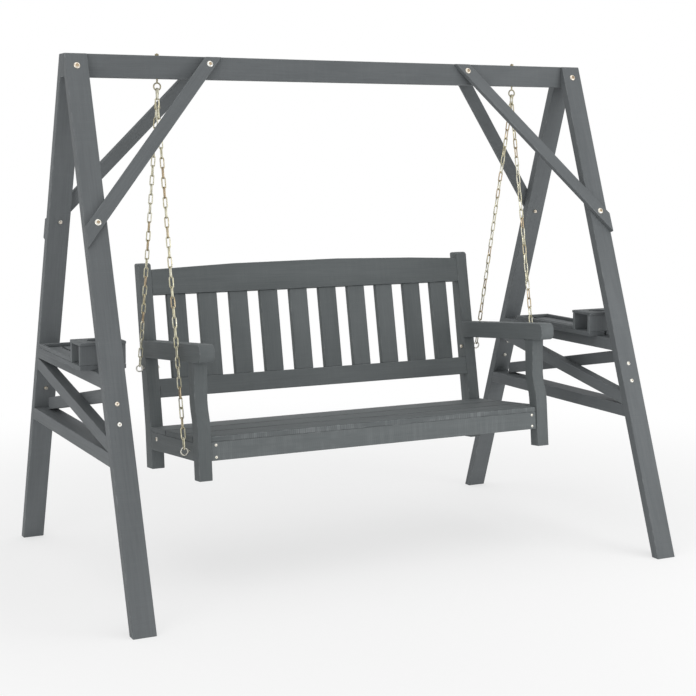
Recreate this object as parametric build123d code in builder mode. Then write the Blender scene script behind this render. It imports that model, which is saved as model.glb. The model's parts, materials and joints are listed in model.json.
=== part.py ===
from build123d import *
import os
from math import cos, hypot, radians, sin, sqrt, tan

# A garden swing bench: two slatted trays with cup boxes stand inside an A-shaped timber
# stand, and a slatted bench hangs from its beam on four long-link chains.
# Millimetres. X runs along the beam, Y points to the back and Z up. The origin is on the
# ground, under the middle of the beam.

os.makedirs("parts", exist_ok=True)

# Beam
beam_length = 2000
beam_depth = 43
beam_height = 76
beam_top = 1748

# Legs
leg_width = 75
leg_thickness = 32
leg_lean = 19.75
leg_top_land = 10

# Corner braces
brace_width = 45
brace_thickness = 18
brace_tilt = 21.1
brace_angle = 50.5
brace_reach = 459
brace_seat_drop = 18

# Side frames
rail_height = 43
lower_rail_bottom = 476
upper_rail_bottom = 707
falling_diagonal_end = 380

# Trays
tray_width = 150
tray_front_gap = 68
tray_back_gap = 139
tray_board_thickness = 16
tray_board_gap = 10
tray_rim_width = 12
tray_rim_height = 12

# Cup boxes
cup_box_opening = 80
cup_box_height = 62
cup_panel_thickness = 12
cup_panel_setback = 2
cup_plate_thickness = 10
cup_plate_overhang = 5
cup_hole_radius = 35

# Bolts and nuts of the stand
bolt_radius = 4
bolt_head_radius = 11
leg_bolt_head_radius = 7.5
bolt_head_height = 4
bolt_head_slope = 45
bolt_head_sides = 12
shank_sides = 8
bolt_hole_clearance = 0.4
bolt_tip = 2
nut_radius = 7
nut_height = 6
nut_gap = 0.3
beam_bolt_length = 44
beam_bolt_drop = 40
beam_bolt_inset = 37
brace_bolt_drop = 24
brace_bolt_inset = 40
brace_foot_bolt_rise = 75
brace_screw_length = 40
lower_leg_bolt_gap = 41
upper_leg_bolt_gap = 1

# Bench: it leans back as it hangs, its datum is the rear edge of the seat's top
swing_offset = 21.5
bench_datum_y = 173.3
bench_datum_z = 465.1
bench_recline = 5.25

# Bench posts
post_width = 46
post_half_span = 676
rear_post_depth = 62
rear_post_top_depth = 48
rear_post_rise = 577
rear_post_foot = 149
rear_post_corner = 8
back_lean = 6.15
front_post_depth = 48
front_post_top_depth = 52
front_post_foot = 143
front_post_step = 18
front_post_top_lean = 10
front_post_curve_start = 15
front_post_curve_rise = 110
seat_to_arm = 243

# Seat
seat_depth = 464
seat_board_count = 3
seat_board_thickness = 18
seat_board_gap = 4.5
seat_gap = 0.5
apron_setback = 6
apron_thickness = 24
side_rail_thickness = 32
seat_rail_height = 62
rear_rail_thickness = 32
rear_rail_inset = 43
bearer_width = 32
bearer_count = 4
rail_bolt_drop = 38

# Arms
arm_width = 52
arm_height = 60
arm_overhang = 65
arm_nose_radius = 23

# Back rest
back_rail_thickness = 34
back_low_rail_bottom = 100
back_low_rail_height = 66
back_top_rail_bottom = 466
back_top_rail_height = 91
back_top_rail_arch = 16
back_slat_count = 10
back_slat_width = 71
back_slat_thickness = 22
back_slat_end_gap = 53.6

# Screws of the bench
screw_radius = 2.5
screw_head_radius = 5
screw_head_height = 2
screw_length = 30
apron_screw_inset = 18
apron_screw_edge = 11

# Eye bolts and chains
eye_radius = 12
eye_sides = 12
eye_wire = 5
eye_wire_bevel = 1.45
eye_shank_radius = 3
eye_centre_drop = 25.5
eye_stand_off = 18
beam_eye_outset = 22.5
front_eye_setback = 34.5
rear_eye_rise = 206
rear_eye_inset = 41
chain_wire = 4.5
chain_width = 17.2
chain_pitch = 32.9
chain_corner = 5.5
chain_twist_joints = 5
chain_play = 0.15
chain_side_gap = 0.4
chain_spread = 1
hook_clearance = 0.3

overrun = 60

beam_face = beam_depth / 2
beam_bottom = beam_top - beam_height
beam_end = beam_length / 2
frame_x = beam_end - leg_width / 2
bolt_hole_radius = bolt_radius + bolt_hole_clearance


def leg_outer(z):
    """Distance of a leg's outer face from the middle plane at the height z."""
    return beam_face + leg_top_land + (beam_top - z) * tan(radians(leg_lean))


def leg_inner(z):
    """Distance of a leg's inner face from the middle plane at the height z."""
    return leg_outer(z) - leg_thickness / cos(radians(leg_lean))


def leg_face(end, x, z):
    """Plane on the outer face of the front (end -1) or rear (end 1) legs, Z outwards."""
    outwards = (0, end * cos(radians(leg_lean)), sin(radians(leg_lean)))
    return Plane(origin=(x, end * leg_outer(z), z), x_dir=(-end, 0, 0), z_dir=outwards)


def brace_face(end, thickness=0):
    """Plane on the back of a brace, or so far in front of it, with Y up the slope."""
    outwards = (0, end * cos(radians(brace_tilt)), sin(radians(brace_tilt)))
    back = Plane(
        origin=(0, end * beam_face, beam_top - brace_seat_drop),
        x_dir=(-end, 0, 0),
        z_dir=outwards,
    )
    return back.offset(thickness)


def on_brace(end, side, x, z):
    """Plane on a brace's outer face at the given height, Z outwards."""
    face = brace_face(end, brace_thickness)
    up = (z - face.origin.Z) / cos(radians(brace_tilt))
    return Plane(origin=face.from_local_coords((-end * side * x, up, 0)), z_dir=face.z_dir)


brace_drop = (beam_end - brace_reach) * tan(radians(brace_angle))
brace_foot = beam_top - brace_drop * cos(radians(brace_tilt))
brace_top_x = brace_reach + brace_width
beam_bolts = {}
brace_top_bolts = {}
brace_foot_bolts = {}
leg_bolts = {}
corners = [(side, end) for side in (-1, 1) for end in (-1, 1)]
lower_rail_top = lower_rail_bottom + rail_height
upper_rail_top = upper_rail_bottom + rail_height
lower_leg_bolt = lower_rail_top + rail_height + lower_leg_bolt_gap
upper_leg_bolt = upper_rail_bottom - rail_height - upper_leg_bolt_gap
for side, end in corners:
    bolt_x = side * (beam_end - beam_bolt_inset)
    beam_bolts[side, end] = leg_face(end, bolt_x, beam_top - beam_bolt_drop)
    leg_bolts[side, end] = [
        leg_face(end, bolt_x, lower_leg_bolt),
        leg_face(end, bolt_x, upper_leg_bolt),
    ]
    brace_top_bolts[side, end] = on_brace(end, side, brace_top_x, beam_top - brace_bolt_drop)
    brace_foot_bolts[side, end] = on_brace(
        end, side, beam_end - brace_bolt_inset, brace_foot + brace_foot_bolt_rise
    )


def rod(radius, length):
    """Eight-sided rod from the plane Z = 0 downwards: a shank, or the cutter of its hole."""
    with BuildPart() as straight:
        with BuildSketch():
            RegularPolygon(radius, shank_sides)
        extrude(amount=-length)
    return straight.part


def drill(radius, length):
    """Cut the hole of a shank at the places set."""
    add(rod(radius, length), mode=Mode.SUBTRACT)


# Beam with the holes of its bolts and eye bolts
eye_hole_radius = eye_shank_radius + bolt_hole_clearance
beam_eye_z = beam_bottom - eye_centre_drop
beam_eye_x = post_half_span + beam_eye_outset
beam_eyes = [(swing_offset + side * beam_eye_x, 0, beam_eye_z) for side in (-1, 1)]
with BuildPart() as top_beam:
    with BuildSketch(Plane.YZ.offset(-beam_end)):
        with Locations((0, beam_bottom)):
            Rectangle(beam_depth, beam_height, align=(Align.CENTER, Align.MIN))
    extrude(amount=beam_length)
    with Locations(*beam_bolts.values()):
        drill(bolt_hole_radius, beam_bolt_length + bolt_tip)
    with Locations(*brace_top_bolts.values()):
        drill(bolt_hole_radius, brace_screw_length + bolt_tip)
    with Locations(*[(x, y, beam_top) for x, y, z in beam_eyes]):
        drill(eye_hole_radius, beam_height)
top_beam.part.label = "top_beam"
export_step(top_beam.part, "parts/top_beam.step")

# Legs: leaning boards, seated upright against the beam and cut flat on the ground
seat_foot = beam_top - (beam_face - leg_inner(beam_top)) / tan(radians(leg_lean))
end_names = {-1: "front", 1: "rear"}
side_names = {-1: "left", 1: "right"}
for side, end in corners:
    with BuildPart() as leg:
        with BuildSketch(Plane.YZ.offset(side * frame_x)):
            with BuildLine():
                Polyline(
                    (end * beam_face, beam_top),
                    (end * leg_outer(beam_top), beam_top),
                    (end * leg_outer(0), 0),
                    (end * leg_inner(0), 0),
                    (end * beam_face, seat_foot),
                    close=True,
                )
            make_face()
        extrude(amount=leg_width / 2, both=True)
        with Locations(beam_bolts[side, end], *leg_bolts[side, end], brace_foot_bolts[side, end]):
            drill(bolt_hole_radius, leg_thickness + overrun)
    name = f"{end_names[end]}_{side_names[side]}_leg"
    leg.part.label = name
    export_step(leg.part, f"parts/{name}.step")

# Corner braces: flat boards from the beam down to the legs, let in where they cross them
down = (cos(radians(brace_angle)), -sin(radians(brace_angle)))
across = (sin(radians(brace_angle)), cos(radians(brace_angle)))
brace_run = (beam_end - brace_reach) / cos(radians(brace_angle)) + overrun
brace_rise = (beam_top - brace_face(1, brace_thickness).origin.Z) / cos(radians(brace_tilt))
for side, end in corners:
    with BuildPart() as brace:
        with BuildSketch(brace_face(end)):
            brace_corners = []
            for along, over in (
                (-overrun, 0),
                (-overrun, brace_width),
                (brace_run, brace_width),
                (brace_run, 0),
            ):
                x = brace_reach + along * down[0] + over * across[0]
                y = brace_rise + along * down[1] + over * across[1]
                brace_corners.append((-end * side * x, y))
            with BuildLine():
                Polyline(*brace_corners, close=True)
            make_face()
        extrude(amount=brace_thickness)
        split(bisect_by=Plane.XY.offset(beam_top), keep=Keep.BOTTOM)
        split(bisect_by=Plane(origin=(side * beam_end, 0, 0), z_dir=(-side, 0, 0)), keep=Keep.TOP)
        split(bisect_by=Plane(origin=(0, end * beam_face, 0), z_dir=(0, end, 0)), keep=Keep.TOP)
        with BuildSketch(leg_face(end, side * frame_x, beam_top)):
            Rectangle(leg_width, 2 * beam_top)
        extrude(amount=-leg_thickness, mode=Mode.SUBTRACT)
        with Locations(brace_top_bolts[side, end], brace_foot_bolts[side, end]):
            drill(bolt_hole_radius, brace_thickness + overrun)
    name = f"{end_names[end]}_{side_names[side]}_brace"
    brace.part.label = name
    export_step(brace.part, f"parts/{name}.step")

# Side frames: two level rails between the legs and two sloping ones lapped side by side
inner_faces = []
for end in (-1, 1):
    inwards = (0, -end * cos(radians(leg_lean)), -sin(radians(leg_lean)))
    inner_faces.append(Plane(origin=(0, end * leg_inner(0), 0), z_dir=inwards))


def trim_to_legs():
    """Cut the board being made along the inner faces of the legs."""
    for face in inner_faces:
        split(bisect_by=face, keep=Keep.TOP)


def sloping_board(low, high):
    """Corners of a board whose lower edge rises from low through high and runs on."""
    rise = (high[1] - low[1]) / (high[0] - low[0])
    run = (overrun if high[0] > low[0] else -overrun)
    far = (high[0] + run, high[1] + rise * run)
    return [low, far, (far[0], far[1] + rail_height), (low[0], low[1] + rail_height)]


for side in side_names:
    middle = side * frame_x
    for level, bottom in (("lower", lower_rail_bottom), ("upper", upper_rail_bottom)):
        with BuildPart() as rail:
            with BuildSketch(Plane.XY.offset(bottom)):
                with Locations((middle, 0)):
                    Rectangle(leg_width, 2 * leg_outer(bottom))
            extrude(amount=rail_height)
            trim_to_legs()
        name = f"{side_names[side]}_{level}_rail"
        rail.part.label = name
        export_step(rail.part, f"parts/{name}.step")

    front_foot = (-leg_inner(lower_rail_top), lower_rail_top)
    rear_head = (leg_inner(upper_rail_bottom), upper_rail_bottom - rail_height)
    rear_foot = (falling_diagonal_end, lower_rail_top)
    front_head = (-leg_inner(upper_rail_bottom), upper_rail_bottom - rail_height)
    diagonals = {"rising": (front_foot, rear_head, -1), "falling": (rear_foot, front_head, 0)}
    for slope, (low, high, layer) in diagonals.items():
        with BuildPart() as diagonal:
            with BuildSketch(Plane.YZ.offset(middle + layer * leg_width / 2)):
                with BuildLine():
                    Polyline(*sloping_board(low, high), close=True)
                make_face()
            extrude(amount=leg_width / 2)
            trim_to_legs()
        name = f"{side_names[side]}_{slope}_diagonal"
        diagonal.part.label = name
        export_step(diagonal.part, f"parts/{name}.step")

# Trays on the upper rails: two floor boards, a rim round them and a cup box at the front
tray_top = upper_rail_top + tray_board_thickness
tray_board_width = (tray_width - tray_board_gap) / 2
tray_front = tray_front_gap - leg_inner(tray_top)
tray_back = leg_inner(tray_top) - tray_back_gap
front_panel_face = tray_front + cup_panel_setback
back_panel_face = front_panel_face + cup_panel_thickness + cup_box_opening
back_panel_rear = back_panel_face + cup_panel_thickness
for side in side_names:
    middle = side * frame_x
    with BuildPart() as tray_floor:
        with BuildSketch(Plane.XY.offset(upper_rail_top)):
            with Locations((middle, (tray_front + tray_back) / 2)):
                with GridLocations(tray_board_width + tray_board_gap, 0, 2, 1):
                    Rectangle(tray_board_width, tray_back - tray_front)
        extrude(amount=tray_board_thickness)
    name = f"{side_names[side]}_tray_floor"
    tray_floor.part.label = name
    export_step(tray_floor.part, f"parts/{name}.step")

    with BuildPart() as tray_rim:
        with BuildSketch(Plane.XY.offset(tray_top)):
            with Locations((middle, tray_back)):
                Rectangle(
                    tray_width - 2 * tray_rim_width,
                    tray_rim_width,
                    align=(Align.CENTER, Align.MAX),
                )
        extrude(amount=tray_rim_height)
        with BuildSketch(Plane.XY.offset(tray_top)):
            with Locations((middle, (tray_back + back_panel_rear) / 2)):
                with GridLocations(tray_width - tray_rim_width, 0, 2, 1):
                    Rectangle(tray_rim_width, tray_back - back_panel_rear)
        extrude(amount=tray_rim_height)
    name = f"{side_names[side]}_tray_rim"
    tray_rim.part.label = name
    export_step(tray_rim.part, f"parts/{name}.step")

    with BuildPart() as cup_panels:
        with BuildSketch(Plane.XY.offset(tray_top)):
            with Locations((middle, front_panel_face), (middle, back_panel_face)):
                Rectangle(tray_width, cup_panel_thickness, align=(Align.CENTER, Align.MIN))
        extrude(amount=cup_box_height)
    name = f"{side_names[side]}_cup_panels"
    cup_panels.part.label = name
    export_step(cup_panels.part, f"parts/{name}.step")

    with BuildPart() as cup_plate:
        with BuildSketch(Plane.XY.offset(tray_top + cup_box_height)):
            with Locations((middle, (front_panel_face + back_panel_rear) / 2)):
                Rectangle(tray_width, back_panel_rear - front_panel_face + 2 * cup_plate_overhang)
                Circle(cup_hole_radius, mode=Mode.SUBTRACT)
        extrude(amount=cup_plate_thickness)
    name = f"{side_names[side]}_cup_plate"
    cup_plate.part.label = name
    export_step(cup_plate.part, f"parts/{name}.step")


def round_head_bolt(length, radius, head, height):
    """Bolt along Z with its bevelled head on the plane Z = 0 and its shank below."""
    with BuildPart() as bolt:
        with BuildSketch():
            RegularPolygon(head, bolt_head_sides)
        extrude(amount=height, taper=bolt_head_slope)
        add(rod(radius, length))
    return bolt.part


def nut(bore):
    """Hexagon nut standing on the plane Z = 0."""
    with BuildPart() as hexagon:
        with BuildSketch():
            RegularPolygon(nut_radius, 6)
            RegularPolygon(bore, shank_sides, mode=Mode.SUBTRACT)
        extrude(amount=nut_height)
    return hexagon.part


def eye_bolt(shank_length):
    """Ring round the origin in the plane Y = 0, with its shank along Z."""
    half_wire = eye_wire / 2
    turn = 180 / eye_sides
    with BuildPart() as eye:
        with BuildSketch(Plane.XZ):
            RegularPolygon(eye_radius + half_wire, eye_sides, False, rotation=turn)
            RegularPolygon(
                eye_radius - half_wire, eye_sides, False, rotation=turn, mode=Mode.SUBTRACT
            )
        extrude(amount=half_wire, both=True)
        chamfer(eye.faces().filter_by(Axis.Y).edges(), eye_wire_bevel)
        with Locations((0, 0, eye_radius + shank_length)):
            add(rod(eye_shank_radius, shank_length))
    return eye.part


def through_leg(place):
    """Plane of the nut where a bolt placed on the outside comes out of the leg."""
    end = 1 if place.origin.Y > 0 else -1
    outer = leg_face(end, 0, 0)
    depth = (place.origin - outer.origin).dot(outer.z_dir) + leg_thickness
    depth = depth / place.z_dir.dot(outer.z_dir) + nut_gap
    return Plane(origin=place.origin - place.z_dir * depth, z_dir=-place.z_dir)


nut_stack = nut_gap + nut_height + bolt_tip
leg_bolt_places = [place for places in leg_bolts.values() for place in places]
foot_bolt_depth = brace_thickness + leg_thickness / cos(radians(brace_tilt - leg_lean))
stand_bolts = {
    "beam_bolts": (beam_bolts.values(), beam_bolt_length, bolt_head_radius),
    "brace_top_bolts": (brace_top_bolts.values(), brace_screw_length, bolt_head_radius),
    "brace_foot_bolts": (brace_foot_bolts.values(), foot_bolt_depth + nut_stack, bolt_head_radius),
    "leg_bolts": (leg_bolt_places, leg_thickness + nut_stack, leg_bolt_head_radius),
}
for name, (places, length, head) in stand_bolts.items():
    with BuildPart() as bolts:
        with Locations(*places):
            add(round_head_bolt(length, bolt_radius, head, bolt_head_height))
    bolts.part.label = name
    export_step(bolts.part, f"parts/{name}.step")

nut_places = [through_leg(place) for place in leg_bolt_places]
nut_places += [through_leg(place) for place in brace_foot_bolts.values()]
with BuildPart() as stand_nuts:
    with Locations(*nut_places):
        add(nut(bolt_hole_radius))
stand_nuts.part.label = "stand_nuts"
export_step(stand_nuts.part, "parts/stand_nuts.step")

with BuildPart() as beam_eye_bolts:
    with Locations(*beam_eyes):
        add(eye_bolt(beam_top - beam_eye_z - eye_radius + nut_stack))
beam_eye_bolts.part.label = "beam_eye_bolts"
export_step(beam_eye_bolts.part, "parts/beam_eye_bolts.step")

with BuildPart() as beam_eye_nuts:
    with Locations(*[(x, y, beam_top + nut_gap) for x, y, z in beam_eyes]):
        add(nut(eye_hole_radius))
beam_eye_nuts.part.label = "beam_eye_nuts"
export_step(beam_eye_nuts.part, "parts/beam_eye_nuts.step")

# Bench, drawn on its own leaning planes
bench = Plane(
    origin=(swing_offset, bench_datum_y, bench_datum_z),
    x_dir=(1, 0, 0),
    z_dir=(0, sin(radians(bench_recline)), cos(radians(bench_recline))),
)
back_face = bench.rotated((90 - back_lean, 0, 0))


def bench_side(x):
    """Upright plane along the bench's depth, with X to its back and Y up."""
    return Plane(origin=bench.from_local_coords((x, 0, 0)), x_dir=bench.y_dir, z_dir=bench.x_dir)


def beside_bench(side, x, y, z):
    """Plane at a place on the bench, with Z pointing out of that side."""
    return Plane(origin=bench.from_local_coords((side * x, y, z)), z_dir=bench.x_dir * side)


post_middle = post_half_span - post_width / 2
post_inside = post_half_span - post_width
front_face = -seat_depth - apron_setback
front_post_back = front_face + front_post_depth
front_top_face = front_face + front_post_step - front_post_top_lean
rail_bottom = -seat_board_thickness - seat_rail_height
rail_inside = post_half_span - side_rail_thickness
rear_rail_middle = -rear_rail_inset - rear_rail_thickness / 2
front_eye_z = -seat_board_thickness - seat_rail_height / 2
front_eye_y = front_post_back + front_eye_setback
rail_bolt_length = side_rail_thickness + rear_rail_thickness / 2

rail_bolts = {}
front_eyes = {}
rear_eyes = {}
for side in side_names:
    rail_bolts[side] = beside_bench(side, post_half_span, rear_rail_middle, -rail_bolt_drop)
    front_eyes[side] = beside_bench(side, post_half_span, front_eye_y, front_eye_z)
    rear_eyes[side] = beside_bench(side, post_half_span, rear_eye_inset, rear_eye_rise)

for side in side_names:
    with BuildPart() as rear_post:
        with BuildSketch(bench_side(side * post_middle)):
            top_front = rear_post_rise * tan(radians(back_lean))
            with BuildLine():
                Polyline(
                    (0, -rear_post_foot),
                    (0, 0),
                    (top_front, rear_post_rise),
                    (top_front + rear_post_top_depth, rear_post_rise),
                    (rear_post_depth, 0),
                    (rear_post_depth, -rear_post_foot),
                    close=True,
                )
            make_face()
            fillet(vertices().sort_by(Axis.Y)[-2:], rear_post_corner)
        extrude(amount=post_width / 2, both=True)
        with Locations(rear_eyes[side]):
            drill(eye_hole_radius, post_width + overrun)
    name = f"{side_names[side]}_rear_post"
    rear_post.part.label = name
    export_step(rear_post.part, f"parts/{name}.step")

    # The front post steps back in a double curve above the seat
    with BuildPart() as front_post:
        with BuildSketch(bench_side(side * post_middle)):
            with BuildLine():
                edge_tops = []
                for foot in (front_face, front_post_back):
                    low_edge = Line((foot, -front_post_foot), (foot, front_post_curve_start))
                    half_way = (
                        foot + front_post_step / 2,
                        front_post_curve_start + front_post_curve_rise / 2,
                    )
                    over = (
                        foot + front_post_step,
                        front_post_curve_start + front_post_curve_rise,
                    )
                    low_bend = TangentArc(low_edge @ 1, half_way, tangent=low_edge % 1)
                    high_bend = TangentArc(low_bend @ 1, over, tangent=low_bend % 1)
                    depth = 0 if foot == front_face else front_post_top_depth
                    top_edge = Line(high_bend @ 1, (front_top_face + depth, seat_to_arm))
                    edge_tops.append(top_edge @ 1)
                Line(*edge_tops)
                Line((front_face, -front_post_foot), (front_post_back, -front_post_foot))
            make_face()
        extrude(amount=post_width / 2, both=True)
    name = f"{side_names[side]}_front_post"
    front_post.part.label = name
    export_step(front_post.part, f"parts/{name}.step")

    with BuildPart() as arm:
        with BuildSketch(bench_side(side * post_middle)):
            arm_top = seat_to_arm + arm_height
            arm_front = front_top_face - arm_overhang
            with BuildLine():
                Polyline(
                    (arm_front, seat_to_arm),
                    (arm_front, arm_top),
                    (arm_top * tan(radians(back_lean)), arm_top),
                    (seat_to_arm * tan(radians(back_lean)), seat_to_arm),
                    close=True,
                )
            make_face()
            fillet(vertices().sort_by(Axis.X)[:2], arm_nose_radius)
        extrude(amount=arm_width / 2, both=True)
    name = f"{side_names[side]}_arm"
    arm.part.label = name
    export_step(arm.part, f"parts/{name}.step")

    with BuildPart() as side_rail:
        with BuildSketch(bench.offset(rail_bottom)):
            with Locations((side * (post_half_span - side_rail_thickness / 2), front_post_back / 2)):
                Rectangle(side_rail_thickness, -front_post_back)
        extrude(amount=seat_rail_height)
        with Locations(rail_bolts[side]):
            drill(bolt_hole_radius, rail_bolt_length)
        with Locations(front_eyes[side]):
            drill(eye_hole_radius, side_rail_thickness + overrun)
    name = f"{side_names[side]}_side_rail"
    side_rail.part.label = name
    export_step(side_rail.part, f"parts/{name}.step")

# Seat: an apron and a rear rail, bearers between them and three boards on top
apron_screw_x = post_inside - apron_screw_inset
apron_screws = []
for side in side_names:
    for z in (rail_bottom + apron_screw_edge, -seat_board_thickness - apron_screw_edge):
        spot = bench.from_local_coords((side * apron_screw_x, -seat_depth, z))
        apron_screws.append(Plane(origin=spot, z_dir=-bench.y_dir))

with BuildPart() as front_apron:
    with BuildSketch(bench.offset(rail_bottom)):
        with Locations((0, -seat_depth)):
            Rectangle(2 * post_inside, apron_thickness, align=(Align.CENTER, Align.MIN))
    extrude(amount=seat_rail_height)
    with Locations(*apron_screws):
        drill(screw_radius + bolt_hole_clearance, apron_thickness + overrun)
front_apron.part.label = "front_apron"
export_step(front_apron.part, "parts/front_apron.step")

with BuildPart() as rear_seat_rail:
    with BuildSketch(bench.offset(rail_bottom)):
        with Locations((0, rear_rail_middle)):
            Rectangle(2 * rail_inside, rear_rail_thickness)
    extrude(amount=seat_rail_height)
    with Locations(*rail_bolts.values()):
        drill(bolt_hole_radius, rail_bolt_length + bolt_tip)
rear_seat_rail.part.label = "rear_seat_rail"
export_step(rear_seat_rail.part, "parts/rear_seat_rail.step")

bearer_front = -seat_depth + apron_thickness
bearer_rear = rear_rail_middle - rear_rail_thickness / 2
bearer_pitch = 2 * apron_screw_x / (bearer_count - 1)
with BuildPart() as seat_bearers:
    with BuildSketch(bench.offset(rail_bottom)):
        with Locations((0, (bearer_front + bearer_rear) / 2)):
            with GridLocations(bearer_pitch, 0, bearer_count, 1):
                Rectangle(bearer_width, bearer_rear - bearer_front)
    extrude(amount=seat_rail_height)
    with Locations(*apron_screws):
        drill(screw_radius + bolt_hole_clearance, screw_length + bolt_tip)
seat_bearers.part.label = "seat_bearers"
export_step(seat_bearers.part, "parts/seat_bearers.step")

seat_board_pitch = (seat_depth - seat_gap + seat_board_gap) / seat_board_count
with BuildPart() as seat_boards:
    with BuildSketch(bench.offset(-seat_board_thickness)):
        with Locations((0, (-seat_depth - seat_gap) / 2)):
            with GridLocations(0, seat_board_pitch, 1, seat_board_count):
                Rectangle(2 * post_half_span, seat_board_pitch - seat_board_gap)
        with Locations((0, front_post_back + seat_gap)):
            with GridLocations(2 * post_half_span, 0, 2, 1):
                Rectangle(
                    2 * (post_width + seat_gap),
                    front_post_depth + overrun,
                    align=(Align.CENTER, Align.MAX),
                    mode=Mode.SUBTRACT,
                )
    extrude(amount=seat_board_thickness)
seat_boards.part.label = "seat_boards"
export_step(seat_boards.part, "parts/seat_boards.step")

# Back rest between the rear posts: an arched top rail, a lower rail and upright slats
with BuildPart() as back_top_rail:
    with BuildSketch(back_face):
        shoulder = back_top_rail_bottom + back_top_rail_height
        with BuildLine():
            Polyline(
                (-post_inside, shoulder),
                (-post_inside, back_top_rail_bottom),
                (post_inside, back_top_rail_bottom),
                (post_inside, shoulder),
            )
            ThreePointArc(
                (post_inside, shoulder),
                (0, shoulder + back_top_rail_arch),
                (-post_inside, shoulder),
            )
        make_face()
    extrude(amount=-back_rail_thickness)
back_top_rail.part.label = "back_top_rail"
export_step(back_top_rail.part, "parts/back_top_rail.step")

with BuildPart() as back_low_rail:
    with BuildSketch(back_face):
        with Locations((0, back_low_rail_bottom)):
            Rectangle(2 * post_inside, back_low_rail_height, align=(Align.CENTER, Align.MIN))
    extrude(amount=-back_rail_thickness)
back_low_rail.part.label = "back_low_rail"
export_step(back_low_rail.part, "parts/back_low_rail.step")

back_low_rail_top = back_low_rail_bottom + back_low_rail_height
back_slat_span = 2 * (post_inside - back_slat_end_gap) - back_slat_width
back_slat_pitch = back_slat_span / (back_slat_count - 1)
with BuildPart() as back_slats:
    with BuildSketch(back_face.offset(-(back_rail_thickness - back_slat_thickness) / 2)):
        with Locations((0, (back_low_rail_top + back_top_rail_bottom) / 2)):
            with GridLocations(back_slat_pitch, 0, back_slat_count, 1):
                Rectangle(back_slat_width, back_top_rail_bottom - back_low_rail_top)
    extrude(amount=-back_slat_thickness)
back_slats.part.label = "back_slats"
export_step(back_slats.part, "parts/back_slats.step")

# Bolts, screws and nuts of the bench
with BuildPart() as bench_rail_bolts:
    with Locations(*rail_bolts.values()):
        add(round_head_bolt(rail_bolt_length, bolt_radius, leg_bolt_head_radius, bolt_head_height))
bench_rail_bolts.part.label = "bench_rail_bolts"
export_step(bench_rail_bolts.part, "parts/bench_rail_bolts.step")

with BuildPart() as bench_apron_screws:
    with Locations(*apron_screws):
        add(round_head_bolt(screw_length, screw_radius, screw_head_radius, screw_head_height))
bench_apron_screws.part.label = "bench_apron_screws"
export_step(bench_apron_screws.part, "parts/bench_apron_screws.step")

with BuildPart() as bench_eye_nuts:
    for side in side_names:
        for place, wood in ((front_eyes[side], side_rail_thickness), (rear_eyes[side], post_width)):
            spot = place.offset(-wood - nut_gap)
            with Locations(Plane(origin=spot.origin, z_dir=-spot.z_dir)):
                add(nut(eye_hole_radius))
bench_eye_nuts.part.label = "bench_eye_nuts"
export_step(bench_eye_nuts.part, "parts/bench_eye_nuts.step")


def hook_reach(offset):
    """Distance from a ring's wire to the inner end of a link hooked on it at the offset."""
    edge = offset + chain_wire / 2
    wire_reach = hypot(eye_wire / 2, eye_wire / 2 - eye_wire_bevel)
    return eye_radius + wire_reach + hook_clearance - sqrt(eye_radius**2 - edge**2)


# Eye bolts of the bench and its chains. Both chains of a side start side by side on one
# beam eye, each link is hooked through the next and turned a quarter to it. In a chain
# with an even count of links the lowest joints turn less, so that its last link fits too
chain_offset = (chain_wire + chain_side_gap) / 2
hooks = {}
rings = {}
towards_hook = {}
for side, beam_eye in zip(side_names, beam_eyes):
    for end, eyes in ((-1, front_eyes), (1, rear_eyes)):
        hook = Vector(beam_eye) + Vector(end * chain_offset, end * chain_spread, -eye_radius)
        ring = eyes[side].offset(eye_stand_off).origin
        hooks[side, end] = hook
        rings[side, end] = ring
        towards_hook[side, end] = Vector(0, (hook - ring).Y, (hook - ring).Z).normalized()

with BuildPart() as bench_eye_bolts:
    for side in side_names:
        for end, eyes, wood in (
            (-1, front_eyes, side_rail_thickness),
            (1, rear_eyes, post_width),
        ):
            ring_plane = Plane(
                origin=rings[side, end],
                x_dir=towards_hook[side, end],
                z_dir=-eyes[side].z_dir,
            )
            with Locations(ring_plane):
                add(eye_bolt(eye_stand_off - eye_radius + wood + nut_stack))
bench_eye_bolts.part.label = "bench_eye_bolts"
export_step(bench_eye_bolts.part, "parts/bench_eye_bolts.step")

for side, end in corners:
    hook = hooks[side, end]
    low_hook = rings[side, end] + towards_hook[side, end] * eye_radius
    down_chain = (low_hook - hook).normalized()
    start = hook - down_chain * hook_reach(chain_offset)
    length = (low_hook - start).length + hook_reach(0)
    link_count = round(length / chain_pitch)
    pitch = length / link_count
    twist = 90 / chain_twist_joints if link_count % 2 == 0 else 0
    flat = (Vector(1, 0, 0) - down_chain * down_chain.X).normalized()
    link_planes = []
    turn = 0
    for index in range(link_count):
        centre = start + down_chain * (index + 1 / 2) * pitch
        facing = flat.rotate(Axis((0, 0, 0), down_chain), turn)
        link_planes.append(Plane(origin=centre, x_dir=down_chain, z_dir=facing))
        joints_left = link_count - 1 - index
        turn += 90 - twist if joints_left <= chain_twist_joints else 90
    with BuildPart() as link:
        with BuildSketch():
            opening = pitch + chain_play
            Rectangle(opening + 2 * chain_wire, chain_width)
            chamfer(vertices(), chain_corner)
            Rectangle(opening, chain_width - 2 * chain_wire, mode=Mode.SUBTRACT)
        extrude(amount=chain_wire / 2, both=True)
    with BuildPart() as chain:
        with Locations(*link_planes):
            add(link.part)
    name = f"{side_names[side]}_{end_names[end]}_chain"
    chain.part.label = name
    export_step(chain.part, f"parts/{name}.step")
    print(name, "links", link_count, "pitch", round(pitch, 2))
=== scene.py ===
import json
import math
import random

import bmesh
import bpy
import numpy as np
from mathutils import Matrix, Vector


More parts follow.
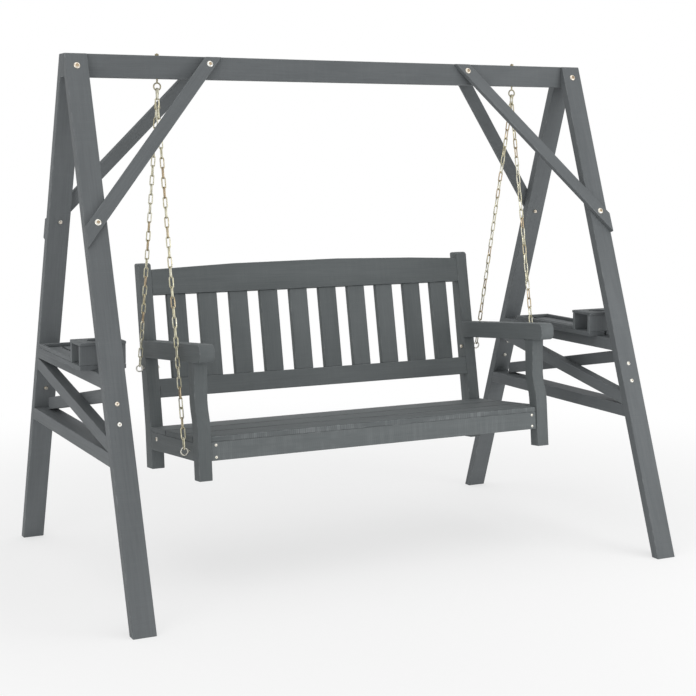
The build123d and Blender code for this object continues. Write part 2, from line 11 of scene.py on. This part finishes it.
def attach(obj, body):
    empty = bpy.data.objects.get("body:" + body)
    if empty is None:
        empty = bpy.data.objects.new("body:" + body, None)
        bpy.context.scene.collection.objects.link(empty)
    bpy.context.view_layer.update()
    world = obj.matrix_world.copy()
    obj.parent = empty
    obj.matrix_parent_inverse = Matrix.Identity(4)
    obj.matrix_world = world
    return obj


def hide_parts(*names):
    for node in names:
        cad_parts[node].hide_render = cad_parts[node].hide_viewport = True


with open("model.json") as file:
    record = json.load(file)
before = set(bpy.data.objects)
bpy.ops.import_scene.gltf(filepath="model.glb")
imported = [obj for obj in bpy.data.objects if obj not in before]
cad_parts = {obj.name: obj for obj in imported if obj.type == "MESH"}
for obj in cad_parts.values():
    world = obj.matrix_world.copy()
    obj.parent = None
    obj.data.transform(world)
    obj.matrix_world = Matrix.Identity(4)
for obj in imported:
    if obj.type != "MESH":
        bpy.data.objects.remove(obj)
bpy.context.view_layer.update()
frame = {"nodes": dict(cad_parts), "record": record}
nodes = frame["nodes"]
dice = random.Random(7)

# Sizes, in metres
weld_distance = 0.00001
edge_radius = 0.0022
post_corner_radius = 0.008
link_wire = 0.0045
link_width = 0.0172
bolt_radius = 0.004
bolt_head_height = 0.004
screw_head_height = 0.002
eye_radius = 0.012
eye_wire_radius = 0.0025
eye_shank_radius = 0.003
nut_bevel = 0.0007
shortest_nut_rim = 0.005
floor_size = 60

# Turns, in degrees
flat_turn = 1
curve_turn = 30
board_corner_turn = 50
nut_corner_turn = 80
smooth_turn = 40

# Shares of saw marks on the narrow sides of a board and on its broad faces
side_marks = {"seat_boards": 1.0, "front_apron": 0.4}
broad_marks = {"front_apron": 0.4}
faint_marks = 0.1

# Radius of the key socket in a bolt as a share of its head's
small_sockets = {"leg_bolts": 0.35, "bench_apron_screws": 0.3}
wide_socket = 0.5

# How far two directions have to agree, as the cosine of the angle between them
same_direction = 0.9999
mostly_along = 0.7
partly_along = 0.3
square_to = 0.1

# Camera as the photograph was taken: metres, degrees, pixels, the sensor in millimetres
camera_place = Vector((-2.3296, -4.7546, 1.4452))
camera_yaw = 26.437
camera_dip = 5.165
focal_pixels = 1485.03
centre_row = 281.47
picture_side = 696
sensor = 36

# Rays by which a thing is seen, and not only lit
seeing_rays = ("Is Camera Ray", "Is Glossy Ray", "Is Transmission Ray")


class Value:
    """A shader socket that Python's signs work on."""

    def __init__(self, recipe, socket):
        self.recipe = recipe
        self.socket = socket

    def math(self, operation, other=0.0, clamp=False):
        settings = {"operation": operation, "use_clamp": clamp}
        return self.recipe.node("ShaderNodeMath", settings, {0: self, 1: other})

    def __add__(self, other):
        return self.math("ADD", other)

    def __sub__(self, other):
        return self.math("SUBTRACT", other)

    def __rsub__(self, other):
        settings = {"operation": "SUBTRACT"}
        return self.recipe.node("ShaderNodeMath", settings, {0: other, 1: self})

    def __mul__(self, other):
        return self.math("MULTIPLY", other)

    __radd__ = __add__
    __rmul__ = __mul__

    def sine(self):
        return self.math("SINE")

    def clamped(self):
        return self.math("ADD", 0.0, clamp=True)

    def ramp(self, low, high):
        """0 below low, 1 above high, smooth between."""
        values = {"Value": self, "From Min": low, "From Max": high}
        return self.recipe.node("ShaderNodeMapRange", {"interpolation_type": "SMOOTHSTEP"}, values)


class Recipe:
    """The node tree of one material, or of the world."""

    def __init__(self, holder):
        self.holder = holder
        holder.use_nodes = True
        self.tree = holder.node_tree
        self.tree.nodes.clear()

    def node(self, kind, settings=None, values=None, output=0):
        made = self.tree.nodes.new(kind)
        for key, setting in (settings or {}).items():
            setattr(made, key, setting)
        for key, value in (values or {}).items():
            socket = made.inputs[key]
            if isinstance(value, Value):
                self.tree.links.new(value.socket, socket)
            else:
                socket.default_value = value
        return Value(self, made.outputs[output]) if made.outputs else None

    def attribute(self, name, output="Fac"):
        return self.node("ShaderNodeAttribute", {"attribute_name": name}, output=output)

    def split(self, vector):
        parts = self.node("ShaderNodeSeparateXYZ", {}, {0: vector}).socket.node
        return [Value(self, parts.outputs[axis]) for axis in "XYZ"]

    def joined(self, x, y, z):
        return self.node("ShaderNodeCombineXYZ", {}, {"X": x, "Y": y, "Z": z})

    def length(self, vector):
        settings = {"operation": "LENGTH"}
        return self.node("ShaderNodeVectorMath", settings, {0: vector}, output=1)

    def noise(self, vector, scale, detail=3.0, roughness=0.5):
        values = {"Vector": vector, "Scale": scale, "Detail": detail, "Roughness": roughness}
        return self.node("ShaderNodeTexNoise", {}, values)

    def mix(self, share, first, second):
        """Blend of two colours by a share from 0 to 1."""
        settings = {"data_type": "RGBA"}
        values = {0: share, 6: first, 7: second}
        return self.node("ShaderNodeMix", settings, values, output=2)

    def bump(self, height, distance, strength=1.0):
        values = {"Height": height, "Distance": distance, "Strength": strength}
        return self.node("ShaderNodeBump", {}, values)

    def surface(self, values):
        shader = self.node("ShaderNodeBsdfPrincipled", {}, values)
        self.node("ShaderNodeOutputMaterial", {}, {"Surface": shader})
        return self.holder

    def seen_directly(self):
        """1 for what the camera, a reflection or a clear surface shows, 0 for other light."""
        path = self.node("ShaderNodeLightPath").socket.node
        rays = [Value(self, path.outputs[name]) for name in seeing_rays]
        return (rays[0] + rays[1] + rays[2]).clamped()


def tone(red, green, blue):
    """Linear colour of a screen colour given in 0 to 255."""
    linear = [
        share / 12.92 if share <= 0.04045 else ((share + 0.055) / 1.055) ** 2.4
        for share in (red / 255, green / 255, blue / 255)
    ]
    return (*linear, 1.0)


def stained_wood(name, light, dark, rubbed_and_edge_lit):
    """Grey stained softwood whose grain runs along each board, with painted shade on the sides
    that face its gaps.
    """
    wood = Recipe(bpy.data.materials.new(name))
    along, across, through = wood.split(wood.attribute("board", "Vector"))
    board_tone = wood.attribute("board_tone")
    end_grain = wood.attribute("end_grain")
    worn_and_lit_edge = wood.attribute("worn_and_lit_edge")
    sawn_face = wood.attribute("sawn_face")
    painted_gap_shade = wood.attribute("painted_gap_shade")
    face = 1 - end_grain

    def grained(lengthwise, crosswise):
        """Place on the board in units that suit a pattern, so many to the metre each way."""
        return wood.joined(along * lengthwise, across * crosswise, through * crosswise)

    # Year rings round a pith beside the board, fibres, pores, cracks and clouds of stain
    wander = wood.noise(grained(0.9, 5), 2.2, 2.0) - 0.5
    pith = wood.length(wood.joined(0.0, across, through))
    rings = (pith * 1150 + wander * 26).sine() * 0.5 + 0.5
    fibres = wood.noise(grained(7, 330), 1.0, 4.0, 0.62)
    pores = wood.noise(grained(24, 900), 1.0, 2.0)
    clouds = wood.noise(grained(2.2, 11), 1.0, 3.0, 0.6)
    streaks = fibres.ramp(0.25, 0.75) * face * 0.2 + rings.ramp(0.3, 1.0) * 0.05
    cracks = wood.noise(grained(13, 300), 1.0, 1.0).ramp(0.7, 0.8) * face
    clouding = clouds.ramp(0.25, 0.8) * 0.28 + cracks * 0.3
    depth = streaks + clouding + board_tone * 0.3 + end_grain * 0.2
    colour = wood.mix(depth.clamped(), light, dark)
    # Painted shade: the seat boards' sides in the gaps go most of the way to a near black shadow
    # tone
    colour = wood.mix(painted_gap_shade * 0.75, colour, gap_shadow_tone)

    # Saw marks across the grain and flecks, where the stain took less, and rounded edges lighter
    # in patches, partly worn and partly a painted highlight where edges catch the light
    fine_teeth = ((along * 850 + wander * 30).sine() * 0.5 + 0.5).ramp(0.35, 0.9)
    coarse_teeth = wood.noise(grained(70, 4), 1.0, 2.0)
    chatter = fine_teeth * 0.55 + coarse_teeth.ramp(0.45, 0.65) * 0.75
    sawn_patch = wood.noise(grained(9, 24), 1.0, 2.0)
    sawn = chatter * sawn_patch.ramp(0.32, 0.6) * sawn_face
    flecks = wood.noise(grained(60, 420), 1.0, 2.0).ramp(0.68, 0.78) * face
    edge_patches = wood.noise(grained(28, 90), 1.0, 4.0, 0.7)
    # Rounded edges lightened in patches: partly wear, partly painted highlight
    rubs_and_edge_light = worn_and_lit_edge * edge_patches.ramp(0.45, 0.7) * 0.5 + sawn * 0.42 + flecks * 0.1
    colour = wood.mix(rubs_and_edge_light.clamped(), colour, rubbed_and_edge_lit)

    height = fibres * 0.5 - pores.ramp(0.56, 0.7) * face * 0.5 - sawn * 0.4 + rings * 0.2
    return wood.surface(
        {
            "Base Color": colour,
            "Roughness": fibres * 0.2 + clouds * 0.14 + 0.5,
            "Normal": wood.bump(height, 0.0005, 0.35),
            "Specular IOR Level": 0.3,
        }
    )


def zinc(name, gold, silver, blush, grime_and_shade_tone, roughness):
    """Zinc plating on steel, between two tints and here and there a blush, darker with grime in
    patches and with painted shade in recesses.
    """
    metal = Recipe(bpy.data.materials.new(name))
    place = metal.node("ShaderNodeTexCoord", output="Object")
    tint = metal.attribute("tint")
    painted_recess_shade = metal.attribute("painted_recess_shade")
    bloom = metal.noise(place, 90.0, 3.0, 0.6)
    film = (bloom.ramp(0.3, 0.7) * 0.5 + tint * 0.6).clamped()
    colour = metal.mix(film, gold, silver)
    colour = metal.mix(tint.ramp(0.35, 0.05) * 0.55, colour, blush)
    grime = metal.noise(place, 260.0, 4.0, 0.65).ramp(0.5, 0.75)
    # Grime in patches and painted shade in recesses, both towards the dark tone
    colour = metal.mix((grime * 0.6 + painted_recess_shade * 0.8).clamped(), colour, grime_and_shade_tone)
    scratches = metal.noise(place, 900.0, 2.0)
    return metal.surface(
        {
            "Base Color": colour,
            "Metallic": 0.7 - grime * 0.3,
            "Roughness": roughness + grime * 0.2 + bloom * 0.1,
            "Normal": metal.bump(scratches, 0.0001, 0.4),
            "Specular Tint": grime_and_shade_tone,
        }
    )


# Painted shadow tone for the sides of the seat boards in the gaps between them
gap_shadow_tone = tone(30, 33, 34)
# Pale tone of saw marks, flecks and worn edges, also the painted highlight on rounded edges
rubbed_and_edge_lit_wood = tone(142, 146, 147)
stand_wood = stained_wood("stand_wood", tone(112, 116, 118), tone(86, 90, 92), rubbed_and_edge_lit_wood)
bench_wood = stained_wood("bench_wood", tone(108, 113, 114), tone(82, 87, 88), rubbed_and_edge_lit_wood)
# The fourth colour of each zinc is its dark tone, for grime and for painted shade in recesses
fastener_zinc = zinc(
    "fastener_zinc",
    tone(226, 222, 206),
    tone(240, 240, 236),
    tone(222, 206, 190),
    tone(168, 144, 110),
    0.22,
)
# A darker copy of the zinc, for the beam's eye bolts and nuts
dark_zinc = zinc(
    "dark_zinc",
    tone(150, 140, 112),
    tone(176, 170, 146),
    tone(140, 118, 96),
    tone(70, 62, 46),
    0.3,
)
chain_zinc = zinc(
    "chain_zinc",
    tone(196, 188, 146),
    tone(232, 230, 214),
    tone(188, 156, 130),
    tone(84, 74, 50),
    0.24,
)
board_finishes = {"stand_wood": stand_wood, "bench_wood": bench_wood}
eye_finishes = {"beam_eye_bolts": dark_zinc, "bench_eye_bolts": fastener_zinc}
nut_finishes = {
    "stand_nuts": fastener_zinc,
    "beam_eye_nuts": dark_zinc,
    "bench_eye_nuts": fastener_zinc,
}


def node_body(node):
    """Name of the body that a node belongs to."""
    for body, members in frame["record"]["behaviour"]["bodies"].items():
        if node in members:
            return body


def node_slot(node):
    """Name of the record's material slot of a node."""
    for subpart in frame["record"]["subparts"]:
        if subpart["node"] == node:
            return subpart["material_slot"]


def settle(name, mesh, node, material):
    """Put a finished mesh in the scene in place of a CAD node."""
    piece = bpy.data.objects.new(name, mesh)
    bpy.context.collection.objects.link(piece)
    mesh.materials.clear()
    mesh.materials.append(material)
    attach(piece, node_body(node))
    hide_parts(node)
    node_slot(node)


def solid_islands(mesh):
    """Groups of the faces that hang together, one for each solid, in a fixed order."""
    mesh.faces.index_update()
    reached = set()
    groups = []
    for start in mesh.faces:
        if start.index in reached:
            continue
        reached.add(start.index)
        group = [start]
        for face in group:
            for edge in face.edges:
                for neighbour in edge.link_faces:
                    if neighbour.index not in reached:
                        reached.add(neighbour.index)
                        group.append(neighbour)
        groups.append(group)
    return sorted(groups, key=lowest_corner)


def lowest_corner(faces):
    """Lower left front corner of the box round some faces, to a tenth of a millimetre."""
    places = [vert.co for face in faces for vert in face.verts]
    return [round(min(place[axis] for place in places), 4) for axis in range(3)]


def node_solids(node):
    """The solids of a node, each welded into a mesh of its own with its flat faces whole."""
    mesh = bmesh.new()
    mesh.from_mesh(nodes[node].data)
    bmesh.ops.remove_doubles(mesh, verts=mesh.verts, dist=weld_distance)
    bmesh.ops.dissolve_limit(
        mesh, angle_limit=math.radians(flat_turn), verts=mesh.verts, edges=mesh.edges
    )
    solids = []
    for faces in solid_islands(mesh):
        solid = bmesh.new()
        corners = {}
        for face in faces:
            for vert in face.verts:
                if vert not in corners:
                    corners[vert] = solid.verts.new(vert.co)
            solid.faces.new([corners[vert] for vert in face.verts])
        solid.normal_update()
        solids.append(solid)
    mesh.free()
    return solids


def joined_mesh(name, solids):
    """One mesh of several, which are used up."""
    whole = bmesh.new()
    for solid in solids:
        part = bpy.data.meshes.new("part")
        solid.to_mesh(part)
        solid.free()
        whole.from_mesh(part)
        bpy.data.meshes.remove(part)
    mesh = bpy.data.meshes.new(name)
    whole.to_mesh(mesh)
    whole.free()
    return mesh


def edge_angle(edge):
    """Turn of the surface over an edge, in degrees."""
    return math.degrees(edge.calc_face_angle(0.0))


def positive(direction):
    """The direction or its opposite, by the sign of its largest part."""
    return direction.copy() if max(direction, key=abs) > 0 else -direction


def board_axes(solid, upright):
    """Directions along, across and through a board, by its longest edge and largest face."""
    longest = max(solid.edges, key=lambda edge: edge.calc_length())
    along = positive((longest.verts[1].co - longest.verts[0].co).normalized())
    if upright:
        along = Vector((0, 0, 1))
    sides = [face for face in solid.faces if abs(face.normal.dot(along)) < square_to]
    through = positive(max(sides, key=lambda face: face.calc_area()).normal)
    return along, through.cross(along).normalized(), through


def round_post_top(solid):
    """Round the two upper corners of a rear post, as seen from the front."""
    sides = [vert.co.x for vert in solid.verts]
    middle = (min(sides) + max(sides)) / 2
    spring = max(vert.co.z for vert in solid.verts) - post_corner_radius
    steps = 4
    for step in range(steps):
        height = spring + post_corner_radius * math.sin(math.radians(90 * step / steps))
        whole = solid.verts[:] + solid.edges[:] + solid.faces[:]
        bmesh.ops.bisect_plane(
            solid, geom=whole, dist=weld_distance, plane_co=(0, 0, height), plane_no=(0, 0, 1)
        )
    for vert in solid.verts:
        rise = min(max(vert.co.z - spring, 0), post_corner_radius)
        inset = post_corner_radius - math.sqrt(post_corner_radius**2 - rise**2)
        vert.co.x -= math.copysign(inset, vert.co.x - middle)
    solid.normal_update()


def dressed_board(solid, node, front):
    """Round a board's edges and note on it its grain, tone, ends, saw marks and the painted shade
    on its sides in gaps.
    """
    along, across, through = board_axes(solid, upright=node.endswith("_cup_panels"))
    middle = sum((vert.co for vert in solid.verts), Vector()) / len(solid.verts)
    curved_normals = []
    flat_normals = []
    for face in solid.faces:
        curved = any(flat_turn < edge_angle(edge) < curve_turn for edge in face.edges)
        (curved_normals if curved else flat_normals).append(face.normal.copy())
    sharp = [edge for edge in solid.edges if edge_angle(edge) > board_corner_turn]
    bmesh.ops.bevel(
        solid, geom=sharp, offset=edge_radius, segments=2, profile=0.5, affect="EDGES"
    )
    board = solid.loops.layers.float_vector.new("board")
    board_tone = solid.loops.layers.float.new("board_tone")
    end_grain = solid.loops.layers.float.new("end_grain")
    worn_and_lit_edge = solid.loops.layers.float.new("worn_and_lit_edge")
    sawn_face = solid.loops.layers.float.new("sawn_face")
    painted_gap_shade = solid.loops.layers.float.new("painted_gap_shade")
    cut = Vector((dice.uniform(0, 40), dice.uniform(-0.05, 0.05), dice.uniform(0.03, 0.1)))
    shade = dice.random()
    for face in solid.faces:
        flat = any(face.normal.dot(normal) > same_direction for normal in flat_normals)
        curved = any(face.normal.dot(normal) >= same_direction for normal in curved_normals)
        sideways = abs(face.normal.dot(across))
        behind_front = face.calc_center_median().y >= front + edge_radius
        # The seat boards' sides behind the front edge face the gaps and get painted shade
        in_gap = node == "seat_boards" and behind_front and sideways > partly_along
        marks = side_marks if sideways > mostly_along else broad_marks
        face.smooth = not flat
        for loop in face.loops:
            place = loop.vert.co - middle
            spot = Vector((place.dot(along), place.dot(across), place.dot(through)))
            loop[board] = spot + cut
            loop[board_tone] = shade
            loop[end_grain] = float(abs(face.normal.dot(along)) > mostly_along)
            # Rounded edge strips, lightened later as wear and as painted highlight
            loop[worn_and_lit_edge] = float(not flat and not curved)
            loop[sawn_face] = marks.get(node, faint_marks)
            loop[painted_gap_shade] = float(in_gap)


def dress_boards():
    """Put a dressed board in place of each wooden solid."""
    for node in nodes:
        if node_slot(node) in board_finishes:
            solids = node_solids(node)
            front = min(vert.co.y for solid in solids for vert in solid.verts)
            for solid in solids:
                if node.endswith("_rear_post"):
                    round_post_top(solid)
                dressed_board(solid, node, front)
            mesh = joined_mesh(node + "_boards", solids)
            settle(node + "_dressed", mesh, node, board_finishes[node_slot(node)])


def own_axes(points):
    """Middle and directions of a solid's points, the longest first."""
    middle = points.mean(axis=0)
    directions = np.linalg.svd(points - middle)[2]
    return middle, [Vector(direction) for direction in directions]


def solid_points(node):
    """The corners of each solid of a node."""
    clouds = []
    for solid in node_solids(node):
        clouds.append(np.array([vert.co[:] for vert in solid.verts]))
        solid.free()
    return clouds


def deselect_all():
    """Leave no object selected."""
    bpy.ops.object.select_all(action="DESELECT")


def finished_mesh():
    """Take the mesh of the active piece and remove its object."""
    piece = bpy.context.object
    bpy.ops.object.shade_smooth_by_angle(angle=math.radians(smooth_turn))
    mesh = piece.data
    bpy.data.objects.remove(piece)
    return mesh


def select_where(test):
    """Select the vertices of the active piece in edit mode by their places."""
    mesh = bmesh.from_edit_mesh(bpy.context.object.data)
    for vert in mesh.verts:
        vert.select = test(vert.co)
    mesh.select_flush_mode()
    bmesh.update_edit_mesh(bpy.context.object.data)


def note_painted_recess_shade(mesh, test):
    """Mark the faces that pass a test as recessed, to get painted shade."""
    painted_recess_shade = mesh.attributes.new("painted_recess_shade", "FLOAT", "FACE")
    for face in mesh.polygons:
        painted_recess_shade.data[face.index].value = float(test(face))
    return mesh


def link_shape(length):
    """Long welded link along X, lying flat in the plane Z = 0."""
    deselect_all()
    bend = (link_width - link_wire) / 2
    segments = 12
    bpy.ops.mesh.primitive_torus_add(
        major_radius=bend,
        minor_radius=link_wire / 2,
        major_segments=segments,
        minor_segments=7,
    )
    half_segment = math.radians(180 / segments)
    bpy.ops.transform.rotate(value=half_segment, orient_axis="Z", center_override=(0, 0, 0))
    bpy.ops.object.transform_apply(rotation=True)
    bpy.ops.object.mode_set(mode="EDIT")
    for side in (-1, 1):
        select_where(lambda place: place.x * side > 0)
        shift = side * (length - link_width) / 2
        bpy.ops.transform.translate(value=(shift, 0, 0))
    bpy.ops.object.mode_set(mode="OBJECT")

    # Painted shade on the inner sides of the bends, where the links touch
    def in_bend(face):
        inward = face.center.x * face.normal.x < 0
        return inward and abs(face.center.x) > (length - link_width) / 2

    return note_painted_recess_shade(finished_mesh(), in_bend)


def frame_of(along, up, middle):
    """Placement with X along one direction and Z as near as may be to another."""
    side = up.cross(along).normalized()
    turned = Matrix((along, side, along.cross(side))).transposed().to_4x4()
    return Matrix.Translation(middle) @ turned


def give_tint(faces, tint):
    """Note one random tint on all of some faces."""
    shade = dice.random()
    for face in faces:
        for loop in face.loops:
            loop[tint] = shade


def placed_copies(name, shape, placements):
    """One mesh of a shape's copies, each with a tint of its own."""
    whole = bmesh.new()
    tint = whole.loops.layers.float.new("tint")
    for placement in placements:
        known = len(whole.faces)
        whole.from_mesh(shape)
        whole.faces.ensure_lookup_table()
        fresh = whole.faces[known:]
        corners = list({vert for face in fresh for vert in face.verts})
        bmesh.ops.transform(whole, matrix=placement, verts=corners)
        give_tint(fresh, tint)
    mesh = bpy.data.meshes.new(name)
    whole.to_mesh(mesh)
    whole.free()
    bpy.data.meshes.remove(shape)
    return mesh


def dress_chains():
    """Put round links in place of the chains' solids, where each of these lies."""
    for node in nodes:
        if node_slot(node) == "chain_steel":
            placements = []
            for points in solid_points(node):
                middle, directions = own_axes(points)
                along, through = directions[0], directions[2]
                placements.append(frame_of(along, through, middle))
                length = np.ptp((points - middle) @ np.array(along))
            mesh = placed_copies(node + "_links", link_shape(length), placements)
            settle(node + "_dressed", mesh, node, chain_zinc)


def bolt_shape(head, height, length, socket_radius):
    """Bolt below the plane Z = 0 with a low round head above it, sunk for a key."""
    deselect_all()
    bpy.ops.mesh.primitive_uv_sphere_add(segments=24, ring_count=12, radius=head)
    bpy.ops.object.mode_set(mode="EDIT")
    bpy.ops.mesh.select_all(action="SELECT")
    bpy.ops.mesh.bisect(
        plane_co=(0, 0, 0), plane_no=(0, 0, 1), use_fill=True, clear_inner=True
    )
    bpy.ops.mesh.select_all(action="SELECT")
    bpy.ops.transform.resize(value=(1, 1, height / head), center_override=(0, 0, 0))
    select_where(lambda place: place.z < weld_distance)
    bpy.ops.mesh.select_mode(type="FACE")
    bpy.ops.mesh.inset(thickness=head - bolt_radius)
    bpy.ops.mesh.extrude_region_move(TRANSFORM_OT_translate={"value": (0, 0, -length)})
    bpy.ops.mesh.select_mode(type="VERT")
    bpy.ops.object.mode_set(mode="OBJECT")
    bolt = bpy.context.object
    bpy.ops.mesh.primitive_cylinder_add(
        vertices=6, radius=socket_radius, depth=height, location=(0, 0, height)
    )
    key = bpy.context.object
    cutter = bolt.modifiers.new("key", "BOOLEAN")
    cutter.operation = "DIFFERENCE"
    cutter.object = key
    cutter.solver = "EXACT"
    bpy.context.view_layer.objects.active = bolt
    bpy.ops.object.modifier_apply(modifier=cutter.name)
    bpy.data.objects.remove(key)
    deselect_all()
    bolt.select_set(True)

    # Painted shade in the key socket
    def in_socket(face):
        return face.center.z > 0 and face.center.xy.length < socket_radius

    return note_painted_recess_shade(finished_mesh(), in_socket)


def shank_frame(points):
    """Axis of a bolt's points towards its wide end, and the points measured on it."""
    middle, directions = own_axes(points)
    axis = directions[0]
    along = (points - middle) @ np.array(axis)
    wide = np.linalg.norm(points - middle - np.outer(along, np.array(axis)), axis=1)
    if along[wide.argmax()] < 0:
        axis, along = -axis, -along
    return middle, axis, along, wide


def dress_bolts():
    """Put bolts with round heads and key sockets in place of the plain ones."""
    for node in nodes:
        if node.endswith(("_bolts", "_screws")) and "eye" not in node:
            placements = []
            height = screw_head_height if node.endswith("_screws") else bolt_head_height
            for points in solid_points(node):
                middle, axis, along, wide = shank_frame(points)
                head = wide.max()
                length = np.ptp(along) - height
                base = Vector(middle) + axis * (along.max() - height)
                placements.append(frame_of(axis.orthogonal().normalized(), axis, base))
            socket_radius = head * small_sockets.get(node, wide_socket)
            shape = bolt_shape(head, height, length, socket_radius)
            mesh = placed_copies(node + "_round", shape, placements)
            settle(node + "_dressed", mesh, node, fastener_zinc)


def eye_shape(reach):
    """Welded eye in the plane Y = 0 with its threaded shank along Z."""
    deselect_all()
    bpy.ops.mesh.primitive_torus_add(
        major_radius=eye_radius,
        minor_radius=eye_wire_radius,
        major_segments=32,
        minor_segments=10,
        rotation=(math.pi / 2, 0, 0),
    )
    ring = bpy.context.object
    bpy.ops.object.transform_apply(rotation=True)
    length = reach - eye_radius
    bpy.ops.mesh.primitive_cylinder_add(
        vertices=16,
        radius=eye_shank_radius,
        depth=length,
        location=(0, 0, eye_radius + length / 2),
    )
    bpy.ops.object.transform_apply(location=True)
    ring.select_set(True)
    bpy.context.view_layer.objects.active = ring
    bpy.ops.object.join()
    return finished_mesh()


def dress_eyes():
    """Put round ring bolts in place of the plain ones."""
    for node, finish in eye_finishes.items():
        solids = []
        for points in solid_points(node):
            middle, axis, along = shank_frame(points)[:3]
            ring_points = points[along > along.max() - 2 * eye_radius]
            normal = own_axes(ring_points)[1][2]
            outer_radius = eye_radius + eye_wire_radius
            centre = Vector(middle) + axis * (along.max() - outer_radius)
            reach = np.ptp(along) - outer_radius
            placement = Matrix.Translation(centre) @ Matrix(
                (normal.cross(-axis), normal, -axis)
            ).transposed().to_4x4()
            eye = placed_copies("eye", eye_shape(reach), [placement])
            solids.append(bmesh.new())
            solids[-1].from_mesh(eye)
            bpy.data.meshes.remove(eye)
        mesh = joined_mesh(node + "_round", solids)
        settle(node + "_dressed", mesh, node, finish)


def dress_nuts():
    """Put nuts with bevelled rims in place of the plain ones."""
    for node, finish in nut_finishes.items():
        solids = node_solids(node)
        for solid in solids:
            corners = [edge for edge in solid.edges if edge_angle(edge) > nut_corner_turn]
            rim = [edge for edge in corners if edge.calc_length() > shortest_nut_rim]
            bmesh.ops.bevel(
                solid, geom=rim, offset=nut_bevel, segments=2, profile=0.5, affect="EDGES"
            )
            give_tint(solid.faces, solid.loops.layers.float.new("tint"))
        mesh = joined_mesh(node + "_hex", solids)
        settle(node + "_dressed", mesh, node, finish)


# Always in this order, since all draw their tints from the same dice
dress_boards()
dress_chains()
dress_bolts()
dress_eyes()
dress_nuts()

# Floor, pale near the object and fading to the white behind it
deselect_all()
bpy.ops.mesh.primitive_plane_add(size=floor_size)
floor = bpy.context.object
floor.name = "studio_floor"
pale = Recipe(bpy.data.materials.new("pale_floor"))
distance = pale.length(pale.node("ShaderNodeTexCoord", output="Object"))
matt = pale.node("ShaderNodeBsdfDiffuse", {}, {"Color": (0.97, 0.97, 0.97, 1)})
white = pale.node("ShaderNodeEmission", {}, {"Color": (1, 1, 1, 1), "Strength": 1.0})
least_white = 0.6
away = distance.ramp(1.2, 3.2)
whiteness = (away * (1 - least_white) + least_white) * pale.seen_directly()
fade = pale.node("ShaderNodeMixShader", {}, {0: whiteness, 1: matt, 2: white})
pale.node("ShaderNodeOutputMaterial", {}, {"Surface": fade})
floor.data.materials.append(pale.holder)

# Light from all round, with two soft lamps in front and another overhead
world = bpy.data.worlds.new("studio")
bpy.context.scene.world = world
sky = Recipe(world)
ambient = 0.62
strength = sky.seen_directly() * (1 - ambient) + ambient
glow = sky.node("ShaderNodeBackground", {}, {"Color": (1, 1, 1, 1), "Strength": strength})
sky.node("ShaderNodeOutputWorld", {}, {"Surface": glow})
for name, place, aim, size, energy in (
    ("left_lamp", (-4.5, -3.4, 1.8), (0.6, -0.2, 0.7), 3.0, 46),
    ("right_lamp", (1.9, -2.1, 1.1), (1.0, -0.4, 0.8), 1.4, 16),
    ("top_lamp", (0, -0.8, 4.6), (0, 0, 0), 4.0, 34),
):
    light = bpy.data.lights.new(name, "AREA")
    light.size = size
    light.energy = energy
    lamp = bpy.data.objects.new(name, light)
    lamp.location = place
    lamp.rotation_euler = (Vector(aim) - Vector(place)).to_track_quat("-Z", "Y").to_euler()
    bpy.context.collection.objects.link(lamp)

# Camera
lens = bpy.data.cameras.new("photo_view")
lens.sensor_width = sensor
lens.lens = focal_pixels / picture_side * sensor
lens.shift_y = (centre_row - picture_side / 2) / picture_side
camera = bpy.data.objects.new("photo_view", lens)
camera.location = camera_place
camera.rotation_euler = (math.radians(90 - camera_dip), 0, math.radians(-camera_yaw))
bpy.context.collection.objects.link(camera)
bpy.context.scene.camera = camera
bpy.context.scene.view_settings.view_transform = "Standard"
